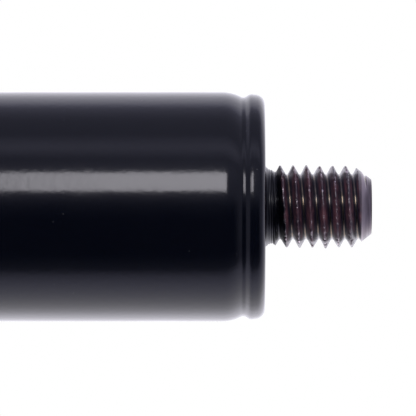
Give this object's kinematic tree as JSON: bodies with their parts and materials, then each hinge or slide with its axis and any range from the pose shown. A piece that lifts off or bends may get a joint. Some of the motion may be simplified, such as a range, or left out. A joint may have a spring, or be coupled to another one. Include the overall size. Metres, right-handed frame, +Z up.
{
  "type": "gas strut stay",
  "caption": "Gas strut: black painted pressure tube with rolled ends, sliding chromed rod and a bare threaded stud at each end.",
  "frame": {"origin": "centre of the seat face at the tube's closed end, where that end's stud begins", "axes": "+X along the strut, out of the closed end with its stud; the rod leaves the tube towards -X; +Z up"},
  "size_m": [0.2803, 0.022, 0.022],
  "materials": {
    "black_paint": "glossy black paint with a fine orange peel",
    "plug_steel": "black paint on the face and neck, dark oiled steel on the thread",
    "hard_chrome": "ground and hard chromed",
    "zinc_plate": "bright zinc plate",
    "spring_steel": "blank spring steel",
    "sintered_steel": "steam-treated sintered steel",
    "guide_aluminium": "turned aluminium",
    "liner_bronze": "bronze with a grey low-friction layer",
    "ptfe_bronze": "bronze-filled low-friction plastic",
    "acetal": "natural acetal",
    "polyurethane": "blue polyurethane",
    "nitrile_rubber": "black nitrile rubber",
    "felt": "wool felt soaked with grease"
  },
  "bodies": {
    "cylinder": {"cylinder_tube": "black_paint", "end_plug": "plug_steel", "end_plug_o_ring": "nitrile_rubber", "cap_washer": "zinc_plate", "wiper_ring": "polyurethane", "grease_felt": "felt", "rod_guide": "guide_aluminium", "guide_liner": "liner_bronze", "guide_o_ring": "nitrile_rubber", "backup_ring": "acetal", "rod_seal": "nitrile_rubber", "seal_washer": "zinc_plate"},
    "ring_carrier": {"piston_ring": "ptfe_bronze"},
    "rod": {"piston_rod": "hard_chrome", "rebound_ring": "polyurethane", "front_washer": "zinc_plate", "piston": "sintered_steel", "rear_washer": "zinc_plate", "piston_nut": "zinc_plate"},
    "valve": {"check_disc": "spring_steel"}
  },
  "joints": [
    {"name": "rod_slide", "type": "slide", "parent": "cylinder", "child": "ring_carrier", "axis": [1, 0, 0], "range_m": [0, 0.1], "stiffness_N_per_m": 1000, "springref_m": -0.3},
    {"name": "rod_turn", "type": "hinge", "parent": "ring_carrier", "child": "rod", "pos_m": [-0.1, 0, 0], "axis": [1, 0, 0], "continuous": true},
    {"name": "disc_lift", "type": "slide", "parent": "rod", "child": "valve", "axis": [-1, 0, 0], "range_m": [0, 0.0008]}
  ]
}
